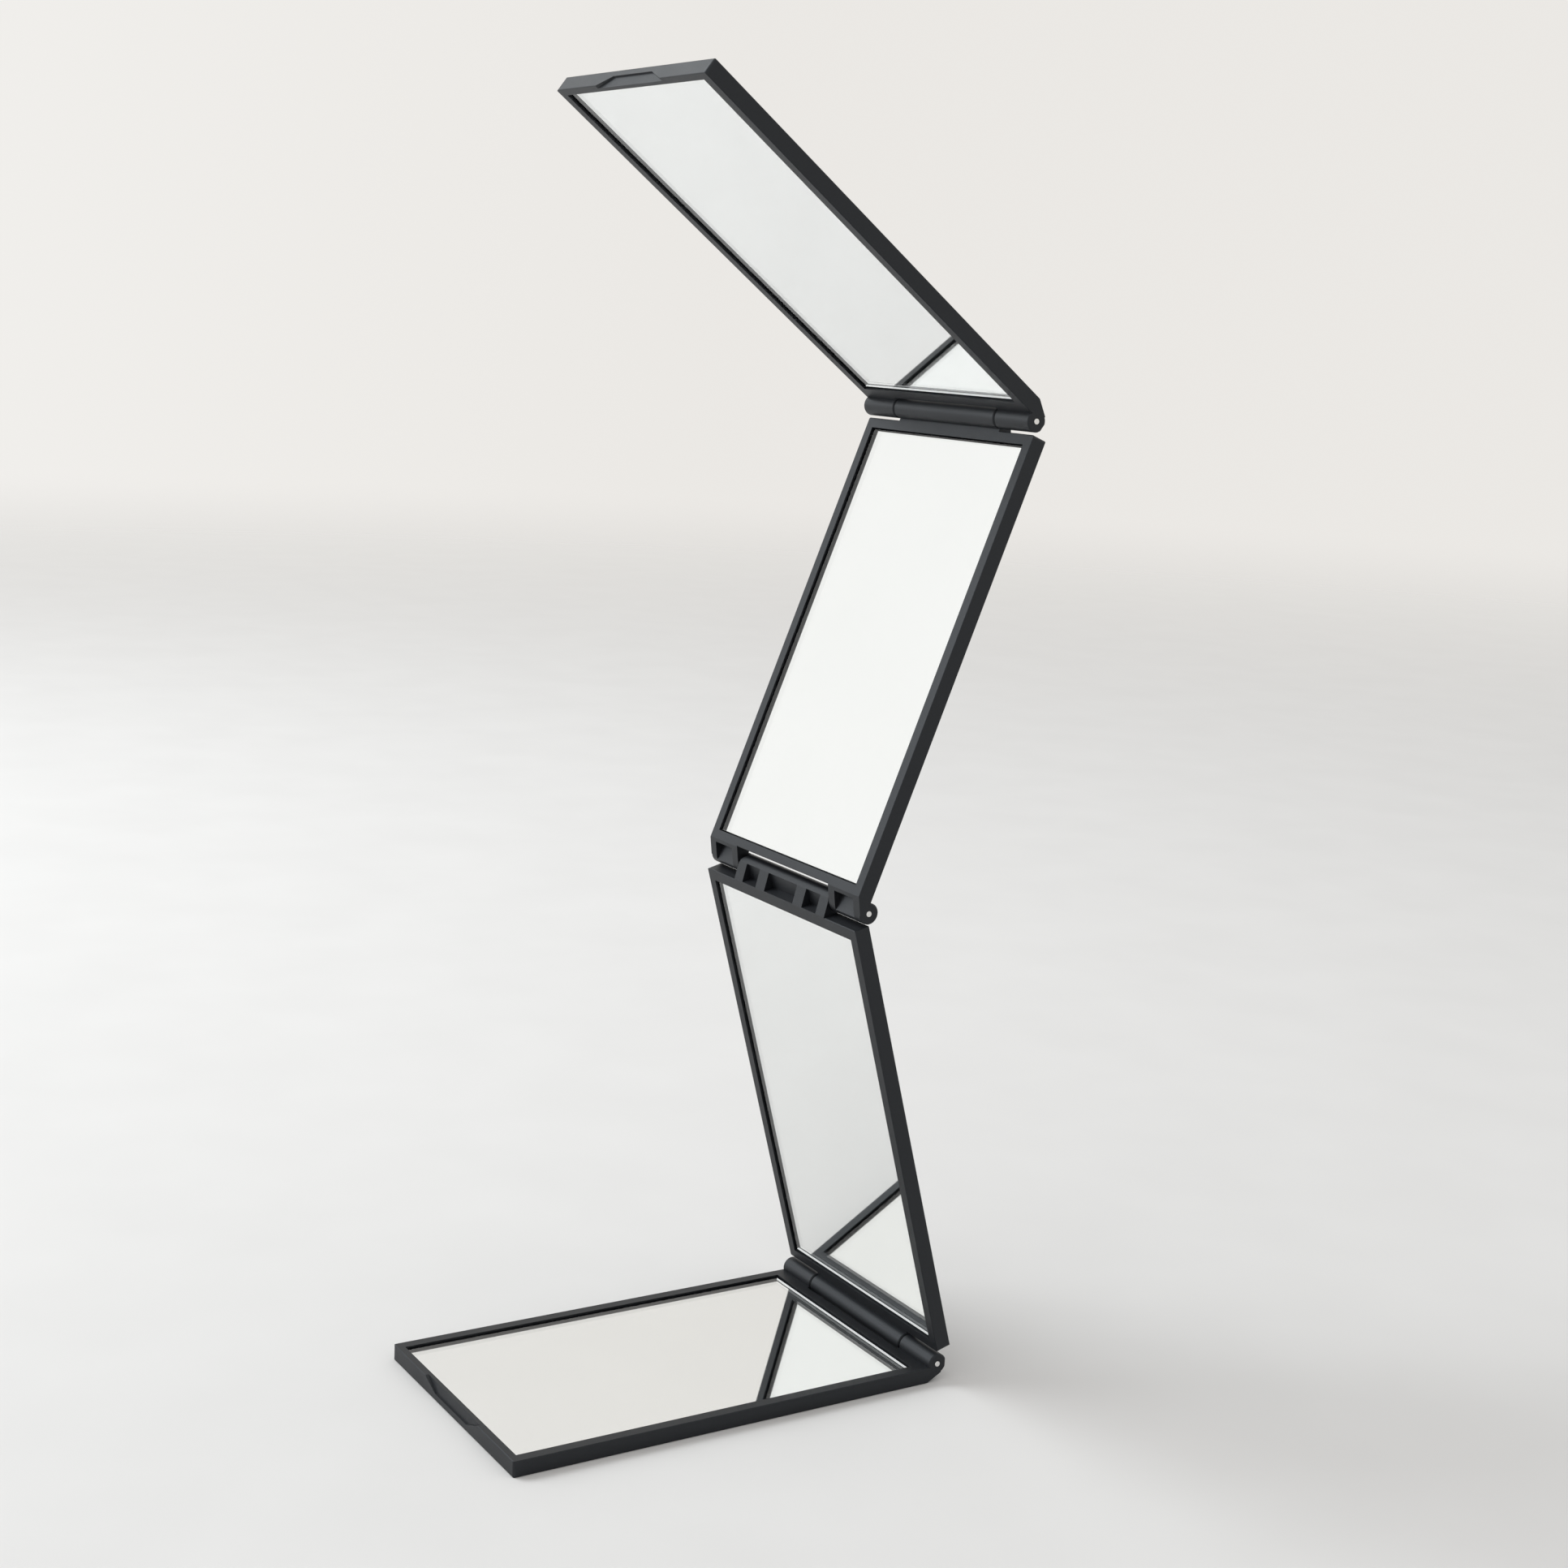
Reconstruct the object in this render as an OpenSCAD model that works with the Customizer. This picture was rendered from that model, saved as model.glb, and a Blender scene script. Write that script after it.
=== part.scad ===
// Four-panel folding mirror standing open: four shallow moulded frames, each with
// a mirror glass stuck into it, joined end to end by three pinned knuckle hinges.
// Millimetres. x runs along the hinge axes, y from the front to the back, z up.
// The origin is the middle of the flat underside of the base frame.

/* [Panels] */
// Width of every frame along the hinge axes
panel_w = 70; // [60:1:90]
// Thickness of every frame
panel_t = 4; // [4:0.1:5]
// Distance between the two hinge axes of a middle panel
middle_pitch = 122; // [100:0.1:150]
// Distance from the free end of an end panel to its hinge axis
end_reach = 116.7; // [95:0.1:145]
// Rounding of the outer corners of a panel seen from the front
corner_r = 0.8; // [0.4:0.1:1.5]
// Rounding of the outer edges of a panel, front and back
edge_r = 0.25; // [0.1:0.05:0.4]

/* [Pose] */
// Angle between the base and the lower panel, zero when shut mirror to mirror
open_low = 74.08; // [40:0.01:110]
// Angle between the lower and the upper panel, zero when shut back to back
open_mid = 142.74; // [110:0.01:175]
// Angle between the upper and the top panel, zero when shut mirror to mirror
open_top = 105.44; // [60:0.01:150]

/* [Rims] */
// Rim beside the glass, along both long sides
rim_side = 2.9; // [2:0.1:5]
// Rim at the free end of an end panel
rim_free = 1.9; // [1.6:0.1:4]
// Rim at the hinge end of an end panel
rim_end_hinge = 3; // [2:0.1:5]
// Rim at the hinge ends of a middle panel
rim_middle = 2.6; // [2:0.1:5]
// Rim at the low end of the upper panel, between its two ears
rim_ears = 2.2; // [2:0.1:5]

/* [Glass] */
// Drop from the rim down to the face of the glass
recess = 0.5; // [0.3:0.1:0.8]
// Thickness of the mirror glass
glass_t = 1.5; // [1.1:0.1:1.6]
// Gap between the edge of the glass and the rim
glass_gap = 0.3; // [0.1:0.05:0.6]
// Thickness of the adhesive pad behind the glass
pad_t = 0.3; // [0.2:0.05:0.5]
// Margin from the edge of the glass to the edge of the pad
pad_margin = 3; // [1:0.5:10]

/* [Hinges] */
// Radius of the knuckle barrels
knuckle_r = 2.6; // [2.5:0.1:3]
// Height of the hinge axis above the face the panels fold onto
pin_rise = 0.6; // [0.3:0.1:0.8]
// Clearance between a barrel and the end of the panel facing it
barrel_gap = 0.5; // [0.4:0.1:1.2]
// Lip by which the lower panel comes closer to the barrels of the middle hinge
middle_lip = 0.3; // [0.1:0.05:0.3]
// Step from the end of a panel to the start of the slope down to the barrel
slope_step = 0.1; // [0.1:0.05:0.4]
// Width of the centre knuckle
centre_w = 42.3; // [36:0.1:46]
// Rounding of the free corners of a centre knuckle seen from the front
centre_corner_r = 2; // [0.5:0.1:2.5]
// Clearance between the centre knuckle and the ear on each side of it
side_gap = 0.3; // [0.2:0.05:0.5]
// Chamfer around both ends of a barrel
barrel_chamfer = 0.3; // [0.1:0.05:0.5]
// Diameter of the steel hinge pins
pin_d = 1.6; // [1.2:0.1:1.8]
// Length of one hinge pin
pin_l = 26.2; // [24:0.1:27]
// Chamfer at both ends of a hinge pin
pin_chamfer = 0.15; // [0.05:0.05:0.3]
// Radial running clearance of a pin in the centre knuckle
pin_clearance = 0.05; // [0.03:0.01:0.08]
// Gap between the inner end of a pin and the bottom of its bore
bore_end_gap = 0.4; // [0.2:0.1:0.8]

/* [Coring pockets] */
// Depth of the pockets below the face away from the hinge axis
pocket_depth = 2.9; // [1.5:0.1:3]
// Distance from the pockets of a centre knuckle to the end face of its panel
pocket_inset = 0.2; // [0.1:0.05:1.5]
// Distance from the pocket of an ear to the end face of its panel
pocket_ear_inset = 0.95; // [0.1:0.05:1.5]
// Reach of the pockets of a centre knuckle beyond the hinge axis
pocket_past = 1.5; // [0.5:0.1:1.8]
// Reach of the pocket of an ear beyond the hinge axis, where it runs out of the barrel
pocket_ear_past = 2; // [1:0.1:2.2]
// Width of the large pocket in the middle of a centre knuckle
pocket_mid_w = 13.4; // [10:0.1:14]
// Width of the two small pockets of a centre knuckle
pocket_small_w = 6.4; // [4:0.1:7]
// Width of the ribs between the pockets of a centre knuckle
pocket_rib = 4.2; // [2:0.1:4.5]
// Width of the pocket in an ear
pocket_ear_w = 8.2; // [5:0.1:9]

/* [Thumb notch] */
// Width of the thumb notch at the mirror side
notch_w = 30.4; // [20:0.1:34]
// Width of the floor of the thumb notch
notch_floor_w = 18; // [10:0.1:19]
// Depth of the thumb notch in the end face
notch_depth = 2.35; // [1.5:0.05:2.5]
// Run of the thumb notch from the end face into the rim, at the mirror side
notch_run = 0.9; // [0.5:0.05:1]
// Run of the thumb notch at its floor
notch_floor_run = 0.5; // [0.1:0.05:0.5]

/* [Hidden] */

$fn = 64;
// How far a cut runs past the face it opens, and a joined shape into its neighbour
over = 1;

// Distance from a hinge axis to the end face of a panel
end_gap = knuckle_r + barrel_gap;
lip_gap = end_gap - middle_lip;
end_plate_l = end_reach - end_gap;
tray_depth = recess + glass_t + pad_t;

// The opening for the glass runs between these distances from a panel's near hinge axis
end_open = [end_gap + rim_end_hinge, end_reach - rim_free];
lower_open = [end_gap + rim_middle, middle_pitch - end_gap - rim_middle];
upper_open = [end_gap + rim_ears, middle_pitch - end_gap - rim_middle];

ear_w = (panel_w - centre_w) / 2 - side_gap;
ear_x = (panel_w - ear_w) / 2;
small_pocket_x = (pocket_mid_w + pocket_small_w) / 2 + pocket_rib;

// Distance from a hinge axis to the face of the panel on the other side
far_face = panel_t + pin_rise;

// Directions of the panels and places of the hinge axes in the side view
lower_angle = 180 - open_low;
upper_angle = lower_angle - 180 + open_mid;
top_angle = upper_angle + 180 - open_top;
low_axis = [end_plate_l / 2 + end_gap, far_face];
mid_axis = low_axis + step_on(lower_angle, middle_pitch, -panel_t - 2 * pin_rise);
top_axis = mid_axis + step_on(upper_angle, middle_pitch, panel_t + 2 * pin_rise);

charcoal = [0.16, 0.165, 0.175];
silver = [0.86, 0.89, 0.9];
steel = [0.78, 0.78, 0.76];
foam = [0.9, 0.9, 0.86];

// The arm of a knuckle slopes from the far face of its panel until it touches the barrel.
// Here and in the modules, gap is the distance from the hinge axis to the panel's end face.
function slope_start(gap) = gap - slope_step;
function slope_angle(gap) =
    acos(knuckle_r / norm([slope_start(gap), far_face])) - atan(slope_start(gap) / far_face);

// A step in the side view: along a panel's direction, then square to it
function step_on(angle, along, across) =
    [along * cos(angle) - across * sin(angle), along * sin(angle) + across * cos(angle)];

// Places a panel that is drawn lying down: x across it, y along it from its hinge
// axis, and its rim at z = 0 with the mirror facing up. axis_z is its hinge axis.
module place(axis, angle, axis_z) {
    translate([0, axis[0], axis[1]])
        rotate([angle, 0, 0])
            translate([0, 0, -axis_z])
                children();
}

module place_base() {
    place(low_axis, 0, pin_rise)
        rotate([0, 0, 180])
            children();
}

module place_lower() {
    place(low_axis, lower_angle, pin_rise)
        children();
}

module place_upper() {
    place(mid_axis, upper_angle, -far_face)
        children();
}

module place_top() {
    place(top_axis, top_angle, pin_rise)
        children();
}

// These put a knuckle, drawn around its own axis, at an end of a panel
module at_near_end_mirror_side() {
    translate([0, 0, pin_rise])
        children();
}

module at_near_end_back() {
    translate([0, 0, -far_face])
        rotate([0, 180, 0])
            children();
}

module at_far_end_mirror_side() {
    translate([0, middle_pitch, pin_rise])
        rotate([0, 0, 180])
            children();
}

module at_far_end_back() {
    translate([0, middle_pitch, -far_face])
        rotate([180, 0, 0])
            children();
}

// A cylinder lying along x with its middle at the origin
module bar(radius, length) {
    rotate([0, 90, 0])
        cylinder(r = radius, h = length, center = true);
}

module chamfered_bar(radius, length, chamfer) {
    straight = length - 2 * chamfer;
    bar(radius, straight);
    for (turn = [0, 180])
        rotate([0, 90 + turn, 0])
            translate([0, 0, straight / 2])
                cylinder(r1 = radius, r2 = radius - chamfer, h = chamfer);
}

// A strip across the panel from y0 to y1, its corners rounded with r0 at y0 and r1 at y1
module strip(width, y0, y1, r0, r1) {
    translate([-width / 2, y0 + r0])
        square([width, y1 - r1 - y0 - r0]);
    for (corner = [[y0 + r0, y0, r0], [y1 - r1, y1 - r1, r1]])
        if (corner[2] > 0) {
            translate([-width / 2 + corner[2], corner[1]])
                square([width - 2 * corner[2], corner[2]]);
            for (side = [-1, 1])
                translate([side * (width / 2 - corner[2]), corner[0]])
                    circle(corner[2]);
        }
}

// Side view of the arm that carries a barrel: y towards the panel, z towards the fold
module arm_profile(gap) {
    polygon([
        [-knuckle_r * sin(slope_angle(gap)), -knuckle_r * cos(slope_angle(gap))],
        [slope_start(gap), -far_face],
        [gap + over, -far_face],
        [gap + over, -pin_rise],
        [0, -pin_rise],
    ]);
}

module arm(width, gap) {
    rotate([90, 0, 90])
        linear_extrude(width, center = true)
            arm_profile(gap);
}

// The space a row of knuckles may fill, its free corners rounded
module knuckle_space(width, radius, gap) {
    translate([0, 0, -far_face])
        linear_extrude(far_face + knuckle_r)
            strip(width, -knuckle_r, gap + over, radius, 0);
}

// Pocket that cores a knuckle from the far face, from y = -past to y = start
module pocket(width, start, past) {
    translate([-width / 2, -past, -far_face - over])
        cube([width, start + past, pocket_depth + over]);
}

// Centre knuckle around its own axis, cored by three pockets, with a blind bore from each side
module centre_knuckle(gap) {
    bore_l = pin_l + bore_end_gap;
    difference() {
        intersection() {
            union() {
                chamfered_bar(knuckle_r, centre_w, barrel_chamfer);
                arm(centre_w, gap);
            }
            knuckle_space(centre_w, centre_corner_r, gap);
        }
        pocket(pocket_mid_w, gap - pocket_inset, pocket_past);
        for (side = [-1, 1]) {
            translate([side * small_pocket_x, 0, 0])
                pocket(pocket_small_w, gap - pocket_inset, pocket_past);
            translate([side * (panel_w - bore_l) / 2, 0, 0])
                bar(pin_d / 2 + pin_clearance, bore_l);
        }
    }
}

// Both ears around their own axis, each cored by one pocket and bored for its pin. Their
// arms carry on the rounded long edges of the panel.
module ears() {
    difference() {
        intersection() {
            union() {
                for (side = [-1, 1])
                    translate([side * ear_x, 0, 0])
                        chamfered_bar(knuckle_r, ear_w, barrel_chamfer);
                intersection() {
                    for (side = [-1, 1])
                        translate([side * ear_x, 0, 0])
                            arm(ear_w, end_gap);
                    translate([0, 0, -pin_rise])
                        long_edges(-knuckle_r - over, end_gap + 2 * over);
                }
            }
            knuckle_space(panel_w, corner_r, end_gap);
        }
        for (side = [-1, 1])
            translate([side * ear_x, 0, 0]) {
                pocket(pocket_ear_w, end_gap - pocket_ear_inset, pocket_ear_past);
                bar(pin_d / 2, ear_w + over);
            }
    }
}

// Bar from y0 to y1 as wide and as thick as a panel, with rounded long edges
module long_edges(y0, y1) {
    translate([0, y1, 0])
        rotate([90, 0, 0])
            linear_extrude(y1 - y0)
                strip(panel_w, -panel_t, 0, edge_r, edge_r);
}

// Bar across the panel from y0 to y1, as thick as a panel, with rounded end edges
module end_edges(y0, y1) {
    translate([0, (y0 + y1) / 2, 0])
        rotate([90, 0, 90])
            linear_extrude(panel_w + 2 * over, center = true)
                strip(y1 - y0, -panel_t, 0, edge_r, edge_r);
}

// Plate of a panel from y0 to y1, with the opening for the glass and its pad
module tray(y0, y1, r0, r1, open) {
    difference() {
        intersection() {
            translate([0, 0, -panel_t - over])
                linear_extrude(panel_t + 2 * over)
                    strip(panel_w, y0, y1, r0, r1);
            long_edges(y0 - over, y1 + over);
            end_edges(y0, y1);
        }
        translate([-panel_w / 2 + rim_side, open[0], -tray_depth])
            cube([panel_w - 2 * rim_side, open[1] - open[0], tray_depth + over]);
    }
}

// Thumb notch in the free end: a trapezoid seen from the end, with a sloping back
module thumb_notch() {
    intersection() {
        translate([0, end_reach + over, 0])
            rotate([90, 0, 0])
                linear_extrude(notch_run + 2 * over)
                    polygon([
                        [-notch_floor_w / 2, -notch_depth],
                        [notch_floor_w / 2, -notch_depth],
                        [notch_w / 2, 0],
                        [notch_w / 2, over],
                        [-notch_w / 2, over],
                        [-notch_w / 2, 0],
                    ]);
        rotate([90, 0, 90])
            linear_extrude(notch_w, center = true)
                polygon([
                    [end_reach - notch_floor_run, -notch_depth],
                    [end_reach + over, -notch_depth],
                    [end_reach + over, over],
                    [end_reach - notch_run, over],
                    [end_reach - notch_run, 0],
                ]);
    }
}

// End panel: ears at the hinge, thumb notch at the free end
module end_frame() {
    color(charcoal)
        difference() {
            union() {
                tray(end_gap, end_reach, 0, corner_r, end_open);
                at_near_end_mirror_side()
                    ears();
            }
            thumb_notch();
        }
}

module mirror_glass(open) {
    width = panel_w - 2 * rim_side - 2 * glass_gap;
    color(silver)
        translate([-width / 2, open[0] + glass_gap, -recess - glass_t])
            cube([width, open[1] - open[0] - 2 * glass_gap, glass_t]);
}

module glass_pad(open) {
    margin = glass_gap + pad_margin;
    width = panel_w - 2 * rim_side - 2 * margin;
    color(foam)
        translate([-width / 2, open[0] + margin, -tray_depth])
            cube([width, open[1] - open[0] - 2 * margin, pad_t]);
}

// Hinge pin, its outer end flush with the outer face of the ear: side -1 is left, 1 is right
module hinge_pin(axis, side) {
    color(steel)
        translate([side * (panel_w - pin_l) / 2, axis[0], axis[1]])
            chamfered_bar(pin_d / 2, pin_l, pin_chamfer);
}

module base_frame() {
    place_base()
        end_frame();
}

module lower_frame() {
    color(charcoal)
        place_lower() {
            tray(end_gap, middle_pitch - lip_gap, corner_r, corner_r, lower_open);
            at_near_end_mirror_side()
                centre_knuckle(end_gap);
            at_far_end_back()
                centre_knuckle(lip_gap);
        }
}

module upper_frame() {
    color(charcoal)
        place_upper() {
            tray(end_gap, middle_pitch - end_gap, 0, corner_r, upper_open);
            at_near_end_back()
                ears();
            at_far_end_mirror_side()
                centre_knuckle(end_gap);
        }
}

module top_frame() {
    place_top()
        end_frame();
}

module base_mirror() {
    place_base()
        mirror_glass(end_open);
}

module lower_mirror() {
    place_lower()
        mirror_glass(lower_open);
}

module upper_mirror() {
    place_upper()
        mirror_glass(upper_open);
}

module top_mirror() {
    place_top()
        mirror_glass(end_open);
}

module base_pad() {
    place_base()
        glass_pad(end_open);
}

module lower_pad() {
    place_lower()
        glass_pad(lower_open);
}

module upper_pad() {
    place_upper()
        glass_pad(upper_open);
}

module top_pad() {
    place_top()
        glass_pad(end_open);
}

base_frame();
lower_frame();
upper_frame();
top_frame();
base_mirror();
lower_mirror();
upper_mirror();
top_mirror();
base_pad();
lower_pad();
upper_pad();
top_pad();
hinge_pin(low_axis, -1);  // low_pin_left
hinge_pin(low_axis, 1);  // low_pin_right
hinge_pin(mid_axis, -1);  // mid_pin_left
hinge_pin(mid_axis, 1);  // mid_pin_right
hinge_pin(top_axis, -1);  // top_pin_left
hinge_pin(top_axis, 1);  // top_pin_right
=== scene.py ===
"""Looks of the four-panel folding mirror: charcoal moulded frames, second-surface
mirror glass and bright steel pins, on a plain pale floor in soft light."""

import bmesh
import bpy
from mathutils import Matrix, Vector


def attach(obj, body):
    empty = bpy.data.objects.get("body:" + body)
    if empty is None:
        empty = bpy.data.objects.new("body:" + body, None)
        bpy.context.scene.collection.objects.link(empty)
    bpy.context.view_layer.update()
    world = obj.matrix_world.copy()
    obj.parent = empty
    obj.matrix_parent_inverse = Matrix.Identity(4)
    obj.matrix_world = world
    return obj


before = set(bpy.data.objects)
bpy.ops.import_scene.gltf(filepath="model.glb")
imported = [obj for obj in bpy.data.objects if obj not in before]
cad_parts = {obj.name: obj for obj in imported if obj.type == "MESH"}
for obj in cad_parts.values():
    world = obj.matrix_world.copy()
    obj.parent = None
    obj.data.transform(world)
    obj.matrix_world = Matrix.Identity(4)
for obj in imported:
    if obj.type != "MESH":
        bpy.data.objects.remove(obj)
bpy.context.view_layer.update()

MM = 0.001
PANELS = ("base", "lower", "upper", "top")
HINGES = ("low", "mid", "top")
SIDES = ("left", "right")

# The lining of a glass: its distance inside the faces of the glass, the thickness of its walls,
# and the height of the ground edge above its floor
LINING_INSET = 0.02 * MM
LINING_WALL = 0.05 * MM
GROUND_HEIGHT = 0.95 * MM
# The order of its materials
SILVER, PAINT_AND_SHADE, GROUND_GLOW = range(3)
# The end of each glass whose edge is ground and left unpainted: the end that faces the light, where
# its white glowing edge is a painted highlight, while the dark paint on the other ends is painted
# shade. Going through the panels from the base to the top, -1 is the first end of a glass and 1 its
# last.
LIT_GROUND_END = {"base": 1, "lower": -1, "upper": -1, "top": -1}

# The span that holds nearly all values of a noise
NOISE_SPAN = (0.3, 0.7)

# The floor lies just below the part, and fades out between these distances from it
FLOOR_DROP = 0.05 * MM
FLOOR_RADIUS = 4.0
FLOOR_CORNERS = 64
FLOOR_FADE = (0.7, 3.0)

# The room: how it looks in front of the part and behind it, and the even light that it gives
ROOM_FRONT = (1.0, 1.0, 0.985)
ROOM_BACK = (0.83, 0.81, 0.78)
ROOM_LIGHT = (0.70, 0.70, 0.70)

# The lamps are round. Each has a name, a place, a point it is aimed at, a power and a colour.
LAMP_DIAMETER = 0.8
LAMPS = (
    ("key", (-1.0, -0.62, 1.4), (0, 0, 0.15), 10, (0.90, 0.96, 1.0)),
    ("front", (-0.88, -1.17, 0.68), (0, 0, 0.18), 8, (0.92, 0.96, 1.0)),
)

# The camera that took the photograph, in the frame of the part
CAMERA_PLACE = (0.488249, -0.277971, 0.259501)
CAMERA_RIGHT = (0.522341, 0.851349, 0.048635)
CAMERA_UP = (-0.186954, 0.058685, 0.980615)
CAMERA_BACK = (0.831990, -0.521308, 0.189816)
CAMERA_LENS = 55.11
CAMERA_SENSOR = 36
CAMERA_CLIP = 10 * MM


class Nodes:
    """A material or world node tree with short calls to add and join its nodes."""

    def __init__(self, tree):
        self.tree = tree
        tree.nodes.clear()

    def add(self, kind, inputs=None, **settings):
        """A new node. Its inputs are sockets to join, or plain values."""
        node = self.tree.nodes.new("ShaderNode" + kind)
        for name, value in settings.items():
            setattr(node, name, value)
        for name, value in (inputs or {}).items():
            if isinstance(value, bpy.types.NodeSocket):
                self.tree.links.new(value, node.inputs[name])
            else:
                node.inputs[name].default_value = value
        return node

    def ramp(self, factor, span, first, last):
        """The colour that goes from first to last while the factor goes through the span."""
        node = self.add("ValToRGB", {"Fac": factor})
        for element, position, color in zip(node.color_ramp.elements, span, (first, last)):
            element.position = position
            element.color = (*color, 1)
        return node.outputs["Color"]

    def remap(self, value, span, target, shape="LINEAR"):
        """The number that goes through the target while the value goes through the span."""
        node = self.add("MapRange", {
            "Value": value,
            "From Min": span[0],
            "From Max": span[1],
            "To Min": target[0],
            "To Max": target[1],
        }, interpolation_type=shape)
        return node.outputs["Result"]

    def place(self):
        return self.add("TexCoord").outputs["Object"]

    def noise(self, vector, size, detail=2.0, roughness=0.5):
        """Noise whose patches are about size metres wide."""
        node = self.add("TexNoise", {
            "Vector": vector,
            "Scale": 1 / size,
            "Detail": detail,
            "Roughness": roughness,
        })
        return node.outputs["Fac"]

    def bump(self, height, depth):
        """The normal of a surface whose height goes from 0 to 1 over a depth in metres."""
        node = self.add("Bump", {"Height": height, "Distance": depth, "Strength": 1.0})
        return node.outputs["Normal"]


def new_material(name):
    material = bpy.data.materials.new(name)
    material.use_nodes = True
    return material, Nodes(material.node_tree)


def surface(nodes, **inputs):
    """Ends a tree with one Principled shader. Underscores in the input names stand for spaces."""
    named = {name.replace("_", " "): value for name, value in inputs.items()}
    shader = nodes.add("BsdfPrincipled", named)
    nodes.add("OutputMaterial", {"Surface": shader.outputs["BSDF"]})


def make_plastic():
    """Charcoal plastic with the fine even grain of a spark-eroded mould."""
    material, nodes = new_material("charcoal_plastic")
    place = nodes.place()
    grain = nodes.noise(place, size=0.22 * MM, detail=3.0, roughness=0.6)
    flow = nodes.noise(place, size=9 * MM, detail=4.0)
    speck = nodes.noise(place, size=0.5 * MM)
    color = nodes.ramp(speck, NOISE_SPAN, (0.0070, 0.0078, 0.0094), (0.0094, 0.0102, 0.0124))
    surface(
        nodes,
        Base_Color=color,
        Roughness=nodes.remap(flow, NOISE_SPAN, (0.43, 0.48)),
        Specular_IOR_Level=0.36,
        Specular_Tint=(0.90, 0.95, 1.0, 1),
        Normal=nodes.bump(grain, depth=0.012 * MM),
    )
    return material


def make_glass():
    """Clear float glass, with a faint wiped haze that only raking light shows."""
    material, nodes = new_material("clear_glass")
    haze = nodes.noise(nodes.place(), size=14 * MM, detail=5.0, roughness=0.65)
    surface(
        nodes,
        Base_Color=(0.985, 0.992, 0.99, 1),
        Roughness=nodes.remap(haze, (0.6, 0.9), (0.0, 0.008)),
        IOR=1.52,
        Transmission_Weight=1.0,
    )
    return material


def make_silver():
    """The silvering on the back of the glass."""
    material, nodes = new_material("silvering")
    ripple = nodes.noise(nodes.place(), size=30 * MM, detail=1.0)
    surface(
        nodes,
        Base_Color=nodes.ramp(ripple, NOISE_SPAN, (0.925, 0.93, 0.925), (0.935, 0.94, 0.935)),
        Metallic=1.0,
        Roughness=0.0,
    )
    return material


def make_edge_paint_and_shade():
    """The dark backing paint, which runs round the edges of the glass; its darkness also stands in
    as painted shade along those edges. It clings to the glass, so it has no shine of its own."""
    material, nodes = new_material("edge_paint_and_shade")
    streaks = nodes.noise(nodes.place(), size=0.8 * MM, detail=3.0)
    surface(
        nodes,
        Base_Color=nodes.ramp(streaks, NOISE_SPAN, (0.008, 0.009, 0.010), (0.016, 0.017, 0.019)),
        Roughness=0.9,
        Specular_IOR_Level=0.0,
    )
    return material


def make_glowing_ground_edge():
    """The ground edge of the glass, white, with a painted glow that stands in for the light the
    glass pipes to it.
    """
    material, nodes = new_material("glowing_ground_edge")
    scratches = nodes.noise(nodes.place(), size=0.3 * MM, detail=4.0, roughness=0.7)
    surface(
        nodes,
        Base_Color=nodes.ramp(scratches, (0.25, 0.75), (0.88, 0.90, 0.90), (0.97, 0.98, 0.98)),
        Roughness=0.65,
        # Painted light: the edge glows on its own though it is no lamp
        Emission_Color=(0.97, 1.0, 1.0, 1),
        Emission_Strength=0.6,
        Normal=nodes.bump(scratches, depth=0.02 * MM),
    )
    return material


def make_steel():
    """Bright drawn wire: fine lines along the pin, a sheared grain on its ends."""
    material, nodes = new_material("drawn_steel")
    stretched = nodes.add("Mapping", {"Vector": nodes.place(), "Scale": (0.03, 1.0, 1.0)})
    lines = nodes.noise(stretched.outputs["Vector"], size=0.06 * MM, detail=3.0)
    surface(
        nodes,
        Base_Color=nodes.ramp(lines, NOISE_SPAN, (0.74, 0.735, 0.72), (0.86, 0.855, 0.84)),
        Metallic=1.0,
        Roughness=nodes.remap(lines, NOISE_SPAN, (0.22, 0.34)),
        Normal=nodes.bump(lines, depth=0.004 * MM),
    )
    return material


def make_foam():
    """White double-sided foam tape, closed-cell."""
    material, nodes = new_material("foam_tape")
    cell_size = 0.25 * MM
    voronoi = nodes.add("TexVoronoi", {"Vector": nodes.place(), "Scale": 1 / cell_size})
    cells = voronoi.outputs["Distance"]
    surface(
        nodes,
        Base_Color=nodes.ramp(cells, (0.0, 0.7), (0.70, 0.70, 0.65), (0.86, 0.86, 0.81)),
        Roughness=0.85,
        Normal=nodes.bump(cells, depth=0.03 * MM),
    )
    return material


def dress(node, material):
    """Gives one node of the part its only material."""
    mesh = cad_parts[node].data
    mesh.materials.clear()
    mesh.materials.append(material)


def glass_axes(panel):
    """Middle, half sizes and axes (across, along, outwards) of a panel's glass."""
    glass = [v.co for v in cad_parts[panel + "_mirror"].data.vertices]
    pad = [v.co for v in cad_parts[panel + "_pad"].data.vertices]
    across = Vector((1, 0, 0))
    outwards = (sum(glass, Vector()) / len(glass) - sum(pad, Vector()) / len(pad)).normalized()
    along = outwards.cross(across)
    middle = Vector()
    half = []
    for axis in (across, along, outwards):
        reach = [co.dot(axis) for co in glass]
        middle += axis * (min(reach) + max(reach)) / 2
        half.append((max(reach) - min(reach)) / 2)
    return middle, half, (across, along, outwards)


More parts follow.
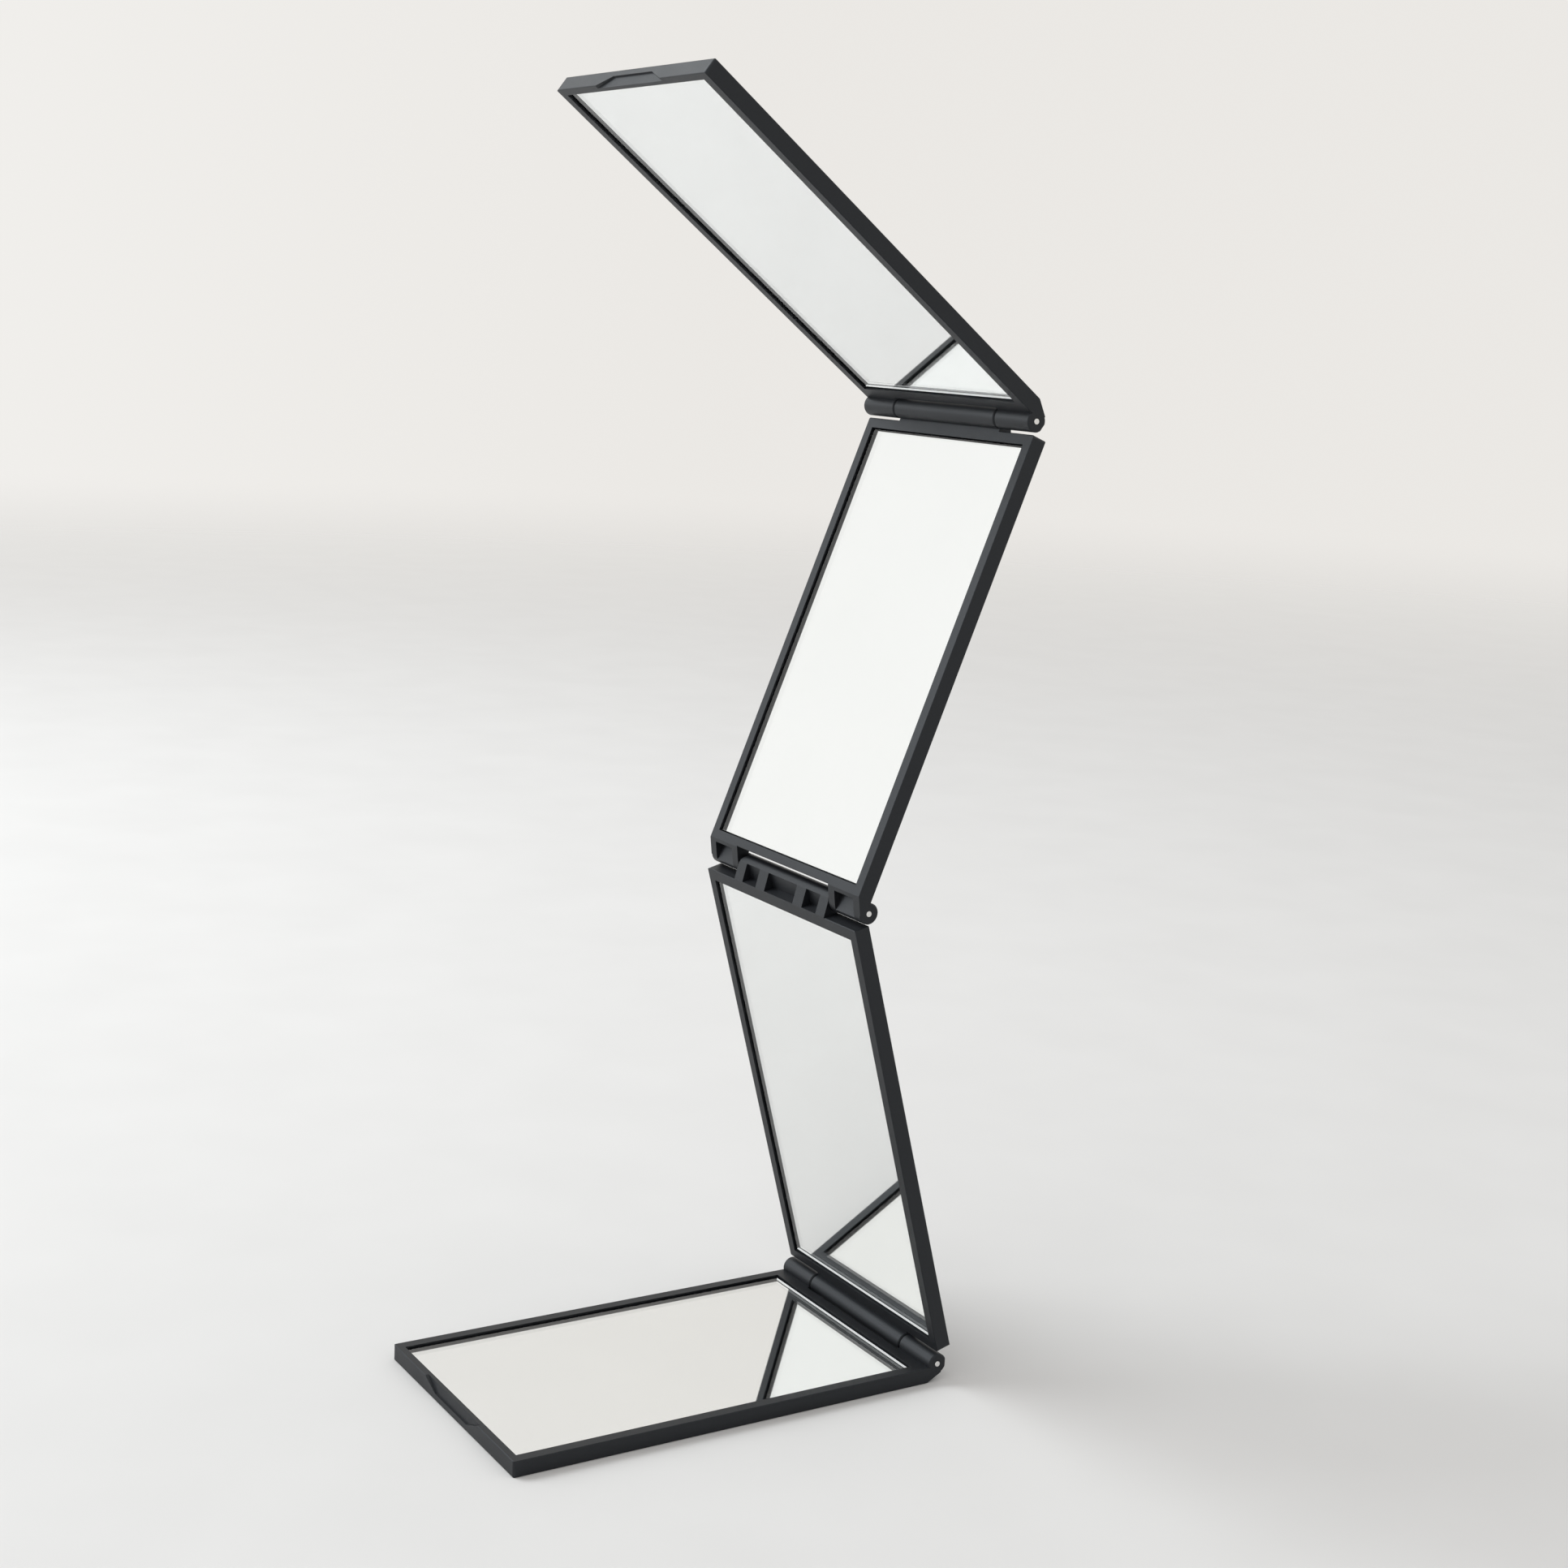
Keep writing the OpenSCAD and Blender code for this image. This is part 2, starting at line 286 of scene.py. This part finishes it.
def make_lining(panel, materials):
    """An open tray just inside the faces of the glass: silver floor and walls of dark paint, which
    is partly painted shade, with the ground edge low on the inside of one short wall, white with a
    painted glow. materials are in their order."""
    middle, half, (across, along, outwards) = glass_axes(panel)
    outer = [h - LINING_INSET for h in half]
    inner = [h - LINING_WALL for h in outer]
    mesh = bmesh.new()

    def ring(reach, height):
        """Four corners. Between the first two lies the first end, between the last two the last."""
        corners = []
        for x, y in ((-1, -1), (1, -1), (1, 1), (-1, 1)):
            place = middle + across * (x * reach[0]) + along * (y * reach[1]) + outwards * height
            corners.append(mesh.verts.new(place))
        return corners

    tray = [
        ring(outer, -outer[2]),
        ring(outer, outer[2]),
        ring(inner, outer[2]),
        ring(inner, -inner[2] + GROUND_HEIGHT),
        ring(inner, -inner[2]),
    ]
    mesh.faces.new(tray[0][::-1]).material_index = PAINT_AND_SHADE
    mesh.faces.new(tray[-1]).material_index = SILVER
    # The short wall at the lit end glows white as a painted highlight; the other walls are dark
    # paint, partly painted shade
    lit_ground_side = 0 if LIT_GROUND_END[panel] < 0 else 2
    for below, above in zip(tray, tray[1:]):
        for i in range(4):
            j = (i + 1) % 4
            face = mesh.faces.new((below[i], below[j], above[j], above[i]))
            is_glowing_ground = above is tray[-1] and i == lit_ground_side
            face.material_index = GROUND_GLOW if is_glowing_ground else PAINT_AND_SHADE
    bmesh.ops.recalc_face_normals(mesh, faces=mesh.faces)
    data = bpy.data.meshes.new(panel + "_silvering")
    mesh.to_mesh(data)
    mesh.free()
    for material in materials:
        data.materials.append(material)
    piece = bpy.data.objects.new(panel + "_silvering", data)
    bpy.context.scene.collection.objects.link(piece)
    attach(piece, panel)


def make_floor():
    """Plain pale floor, which fades into the background far from the object."""
    material, nodes = new_material("pale_floor")
    place = nodes.place()
    mottle = nodes.noise(place, size=50 * MM)
    color = nodes.ramp(mottle, NOISE_SPAN, (0.80, 0.785, 0.765), (0.82, 0.805, 0.785))
    matt = nodes.add("BsdfDiffuse", {"Color": color})
    clear = nodes.add("BsdfTransparent")
    distance = nodes.add("VectorMath", {0: place}, operation="LENGTH").outputs["Value"]
    fade = nodes.remap(distance, FLOOR_FADE, (0.0, 1.0), "SMOOTHSTEP")
    mixed = nodes.add("MixShader", {0: fade, 1: matt.outputs[0], 2: clear.outputs[0]})
    nodes.add("OutputMaterial", {"Surface": mixed.outputs[0]})
    bpy.ops.mesh.primitive_circle_add(
        vertices=FLOOR_CORNERS, radius=FLOOR_RADIUS, fill_type="NGON",
    )
    floor = bpy.context.object
    floor.name = "floor"
    floor.location.z = -FLOOR_DROP
    floor.data.materials.append(material)


def make_world():
    """Even soft light, and a bright room that shows behind the object and in the mirrors."""
    world = bpy.data.worlds.new("room")
    world.use_nodes = True
    bpy.context.scene.world = world
    nodes = Nodes(world.node_tree)
    direction = nodes.add("TexCoord").outputs["Generated"]
    depth = nodes.add("SeparateXYZ", {0: direction}).outputs["Y"]
    front_to_back = nodes.remap(depth, (-0.5, 0.5), (0.0, 1.0))
    room = nodes.ramp(front_to_back, (0.0, 1.0), ROOM_FRONT, ROOM_BACK)
    path = nodes.add("LightPath").outputs
    seen = path["Is Camera Ray"]
    for ray in ("Is Glossy Ray", "Is Transmission Ray"):
        seen = nodes.add("Math", {0: seen, 1: path[ray]}, operation="MAXIMUM").outputs[0]
    # Input 0 is the factor of the mix, inputs 6 and 7 are its two colours
    mixed = nodes.add("Mix", {0: seen, 6: (*ROOM_LIGHT, 1), 7: room}, data_type="RGBA")
    background = nodes.add("Background", {"Color": mixed.outputs[2], "Strength": 1.0})
    nodes.add("OutputWorld", {"Surface": background.outputs[0]})


def make_lamp(name, place, target, power, color):
    lamp = bpy.data.lights.new(name, "AREA")
    lamp.color = color
    lamp.shape = "DISK"
    lamp.size = LAMP_DIAMETER
    lamp.energy = power
    holder = bpy.data.objects.new(name, lamp)
    bpy.context.scene.collection.objects.link(holder)
    holder.location = place
    aim = Vector(target) - Vector(place)
    holder.rotation_euler = aim.to_track_quat("-Z", "Y").to_euler()
    holder.visible_camera = False
    holder.visible_transmission = False
    return holder


def keep_off_mirrors(lamps):
    """Lamps light everything but the glasses, so that none shows as a bright disc in a mirror."""
    mirrors = bpy.data.collections.new("mirrors")
    for panel in PANELS:
        mirrors.objects.link(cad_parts[panel + "_mirror"])
        mirrors.objects.link(bpy.data.objects[panel + "_silvering"])
    for item in mirrors.collection_objects:
        item.light_linking.link_state = "EXCLUDE"
    for lamp in lamps:
        lamp.light_linking.receiver_collection = mirrors


def make_camera():
    data = bpy.data.cameras.new("camera")
    data.lens = CAMERA_LENS
    data.sensor_width = CAMERA_SENSOR
    data.clip_start = CAMERA_CLIP
    camera = bpy.data.objects.new("camera", data)
    bpy.context.scene.collection.objects.link(camera)
    turn = Matrix((CAMERA_RIGHT, CAMERA_UP, CAMERA_BACK)).transposed()
    camera.matrix_world = Matrix.Translation(CAMERA_PLACE) @ turn.to_4x4()
    bpy.context.scene.camera = camera


plastic = make_plastic()
glass = make_glass()
silver = make_silver()
edge_paint_and_shade = make_edge_paint_and_shade()
glowing_ground_edge = make_glowing_ground_edge()
steel = make_steel()
foam = make_foam()

for panel in PANELS:
    dress(panel + "_frame", plastic)
    dress(panel + "_mirror", glass)
    dress(panel + "_pad", foam)
    make_lining(panel, (silver, edge_paint_and_shade, glowing_ground_edge))
for hinge in HINGES:
    for side in SIDES:
        dress(f"{hinge}_pin_{side}", steel)

make_floor()
make_world()
keep_off_mirrors([make_lamp(*lamp) for lamp in LAMPS])
make_camera()
bpy.context.scene.view_settings.view_transform = "Standard"
